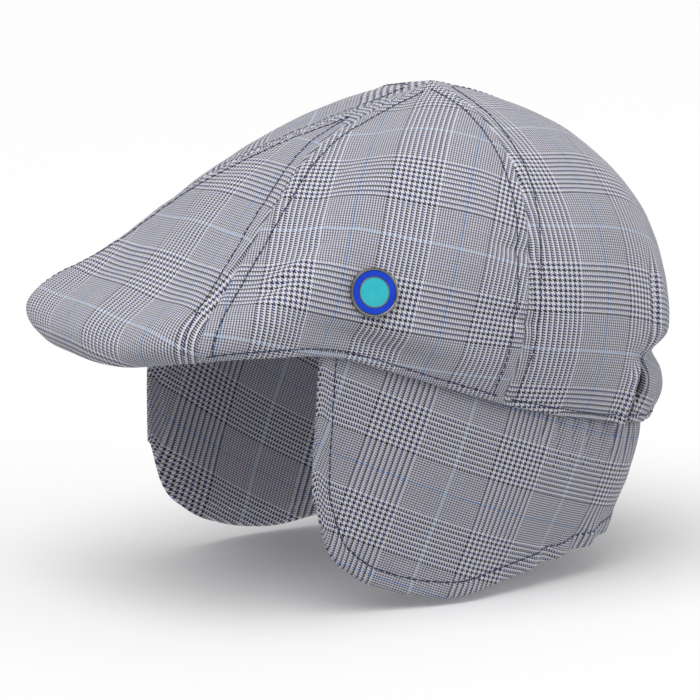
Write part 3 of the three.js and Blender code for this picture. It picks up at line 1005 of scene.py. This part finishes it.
# The flap: its columns stand evenly along its lower edge.
probe = even(2001)
run = arc_length(flap_part(probe, np.ones_like(probe)))
flap = Cloth(flap_part, np.interp(even(430) * run[-1], run, probe), even(84), knots=(13, 61))
flap.lay("flap")
outline = np.concatenate([flap.flat[:, 0], flap.flat[-1, 1:], flap.flat[::-1, -1][1:]])
away, along = nearest_on(outline, flap.flat)
near_nape = smooth_step(1 - np.abs(2 * flap.a - 1), 0.40, 0.52)
fold_place = 44 * flap.a + 0.5 * np.sin(23 * flap.a) + flap.b
gathers = 2.6 * np.abs(np.sin(math.pi * fold_place))**0.6 - 1.9
ripple = 0.9 * np.sin(2 * math.pi * fold_place / 2.1)
belly = smooth_step(away, HEM_STITCH, HEM_STITCH + 14) * hump(flap.b, 0.45, 0.35)
wave = np.sin(along / 11.0 + wander(along, 5.0)) * smooth_step(flap.b, 0.3, 1.0)
flap.height += 1.3 * hem_relief(away, along, 21.0, HEM_STITCH, 0.35)
flap.height += near_nape * gathers * (1 - smooth_step(flap.b, 0.15, 0.60))
flap.height += near_nape * ripple * smooth_step(flap.b, 0.72, 1.0)
flap.height += 0.7 * softness(flap.base, 2.0) + 0.9 * belly + 0.5 * wave
flap.rim = edge_round(away, FLAP_WALL / 2)
lift = flap.height - flap.rim
depth = np.minimum(0.8 * flap.height - FLAP_WALL + flap.rim, lift - 0.05)
flap_piece = seat(shell("ear_flap_cloth", flap.base + flap.normal * lift[..., None],
                        flap.base + flap.normal * depth[..., None], flap.threads, flap_cloth),
                  "flap_cloth", "ear_flap")

_, inset = inset_line(outline, HEM_STITCH)
inset = inset[nearest_on(outline, inset)[0] > HEM_STITCH - 0.2]
hem_row = stitch_row(*flap.place(inset, HEM_STITCH_LIFT), HEM_STITCH_WIDTH)
hem_thread = seat(stitches("flap_stitches", [hem_row], thread), "flap_cloth")

# The peak's board, covered in the same cloth
peak = Cloth(peak_part, even(230), even(46), knots=(9, 41))
peak.lay("peak")
outline = np.concatenate([peak.flat[::-1, 0], peak.flat[0, 1:], peak.flat[1:, -1]])
outer_away, _ = nearest_on(outline, peak.flat)
inner_away, _ = nearest_on(peak.flat[-1], peak.flat)
turn = edge_round(np.minimum(outer_away, inner_away), BOARD_THICKNESS / 2)
rise = np.array([0.0, 0.0, 1.0])
lower_face = peak.base + rise * (turn + 0.10 * softness(peak.base))[..., None]
upper_face = peak.base + rise * (BOARD_THICKNESS - turn)[..., None]
seat(shell("peak_board_cloth", lower_face, upper_face, peak.threads, peak_cloth),
     "peak_cloth", "peak")


# The badge

def lathe(name, profile, material, centre, normal):
    """A turned piece round the badge's axis. The profile is in (radius, height) mm."""
    sides = 96
    profile = np.array(profile, float) * (BADGE_TRIM, 1.0)
    turn = np.linspace(0, 2 * math.pi, sides + 1)[:-1]
    along = normal / np.linalg.norm(normal)
    right = np.cross((0.0, 0.0, 1.0), along)
    right /= np.linalg.norm(right)
    up = np.cross(along, right)
    spoke = np.cos(turn)[:, None] * right + np.sin(turn)[:, None] * up
    points = (centre + profile[None, :, 0, None] * spoke[:, None]
              + profile[None, :, 1, None] * along)
    count = len(profile)
    index = np.arange(sides * count).reshape(sides, count)
    after = np.roll(index, -1, axis=0)
    faces = np.stack([index[:, :-1], after[:, :-1], after[:, 1:], index[:, 1:]], -1).reshape(-1, 4)
    return make_mesh(name, points.reshape(-1, 3), faces, material)


def rounded(points):
    """A profile with its corners rounded off."""
    radius, steps = 0.12, 3
    points = [np.array(p, float) for p in points]
    out = [points[0]]
    for before, here, after in zip(points, points[1:], points[2:]):
        into, onward = before - here, after - here
        cut = min(radius, 0.45 * np.linalg.norm(into), 0.45 * np.linalg.norm(onward))
        start = here + into / np.linalg.norm(into) * cut
        end = here + onward / np.linalg.norm(onward) * cut
        for k in range(steps + 1):
            t = k / steps
            out.append((1 - t)**2 * start + 2 * t * (1 - t) * here + t**2 * end)
    return out + [points[-1]]


badge_at, badge_down = np.array(BADGE_PLACE[0]), np.array(BADGE_PLACE[1])
badge_normal = normals_of(meridian, badge_at, badge_down)
badge_centre = meridian(badge_at, badge_down) + badge_normal * BADGE_STAND
metal = metal_material("badge_metal")
ring_enamel = enamel_material("ring_enamel", colour(0, 56, 208), colour(0, 78, 232), 0.0)
centre_enamel = enamel_material("centre_enamel", colour(26, 186, 208), colour(70, 216, 226), 7.0)
dish = rounded([(0.01, 0.0), (9.1, 0.0), (9.7, 0.5), (9.7, 1.7), (9.45, 2.3), (8.95, 2.4),
                (8.65, 2.1), (8.6, 1.2), (6.2, 1.2), (6.15, 2.15), (5.75, 2.15), (5.7, 1.2),
                (0.01, 1.2)])
seat(lathe("badge_metal_rim", dish, metal, badge_centre, badge_normal),
     "badge_metal", "badge_rim")
ring_profile = rounded([(6.05, 1.25), (6.2, 1.95), (7.4, 2.02), (8.6, 1.95), (8.68, 1.25)])
seat(lathe("badge_blue_ring", ring_profile, ring_enamel, badge_centre, badge_normal),
     "badge_enamel")
middle_profile = rounded([(5.85, 1.25), (5.75, 1.98), (3.6, 2.12), (1.6, 2.18), (0.01, 2.2)])
seat(lathe("badge_turquoise_middle", middle_profile, centre_enamel, badge_centre, badge_normal),
     "badge_enamel", "badge_enamel")

# Sizes of the flat cuts of cloth, printed

for name, held, rests in (("front_panel", "stretched", ["peak_board_cloth"]),
                          ("side_panel_left", "stretched", ["front_panel_cloth"]),
                          ("side_panel_right", "stretched", ["front_panel_cloth"]),
                          ("back_panel_left", "gathered", ["side_panel_left_cloth"]),
                          ("back_panel_right", "gathered", ["side_panel_right_cloth"])):
    piece, cloth = built[name]
    flat, area = cloth_size(cloth)
    print("cut of", name, [round(x, 4) for x in flat], round(area, 5))
flat, area = cloth_size(flap)
print("cut of ear_flap", [round(x, 4) for x in flat], round(area, 5))

# Floor, light and camera

FLOOR_HALF = 20.0
FLOOR_HEIGHT = -0.0775
floor_paint = Tree("floor_paint")
floor_place = floor_paint.node("ShaderNodeTexCoord").outputs["Object"]
floor_paint.base(Base_Color=colour(250, 250, 250),
                 Roughness=floor_paint.range(floor_paint.noise(floor_place, 3.0), 0.85, 0.95),
                 Specular_IOR_Level=0.1, Emission_Color=(1.0, 1.0, 1.0, 1.0),
                 Emission_Strength=0.07)
corners = np.array([(-1.0, -1.0, 0.0), (1.0, -1.0, 0.0), (1.0, 1.0, 0.0), (-1.0, 1.0, 0.0)])
floor = make_mesh("floor", FLOOR_HALF * corners, np.array([[0, 1, 2, 3]]),
                  floor_paint.material, scale=1.0)
floor.location = (0.0, 0.0, FLOOR_HEIGHT)
floor.visible_diffuse = False


def aim(thing, place, target):
    thing.location = place
    thing.rotation_mode = "QUATERNION"
    thing.rotation_quaternion = (Vector(place) - Vector(target)).to_track_quat("Z", "Y")


def add_light(name, kind, energy, place):
    """A light that points at the cap's middle."""
    data = bpy.data.lights.new(name, kind)
    data.energy = energy
    lamp = bpy.data.objects.new(name, data)
    bpy.context.scene.collection.objects.link(lamp)
    aim(lamp, place, (0.0, 0.0, 0.0))
    return data


# The camera stands where the photo was taken from. back_way points from the cap to it.
CAMERA_AWAY = 1.5
LENS = 192.86
back_way = Vector((0.8325, -0.5202, 0.1908))
right_way = Vector((0.5299, 0.8480, 0.0))
up_way = Vector((-0.1618, 0.1011, 0.9816))
target = -0.0184 * right_way + 0.0088 * up_way
camera_data = bpy.data.cameras.new("camera")
camera_data.sensor_width = 36.0
camera_data.lens = LENS
camera_data.clip_end = 60.0
camera = bpy.data.objects.new("camera", camera_data)
bpy.context.scene.collection.objects.link(camera)
aim(camera, CAMERA_AWAY * back_way, target)
bpy.context.scene.camera = camera

key = add_light("key", "SUN", 1.6, (0.35, -0.75, 1.7))
key.angle = math.radians(55.0)
fill = add_light("fill", "AREA", 9.0, (1.5, 1.3, 0.35))
fill.shape = "SQUARE"
fill.size = 1.6
world = bpy.data.worlds.new("studio")
world.use_nodes = True
background = world.node_tree.nodes["Background"]
background.inputs["Color"].default_value = (1.0, 1.0, 1.0, 1.0)
background.inputs["Strength"].default_value = 0.50
bpy.context.scene.world = world
bpy.context.scene.view_settings.view_transform = "Standard"
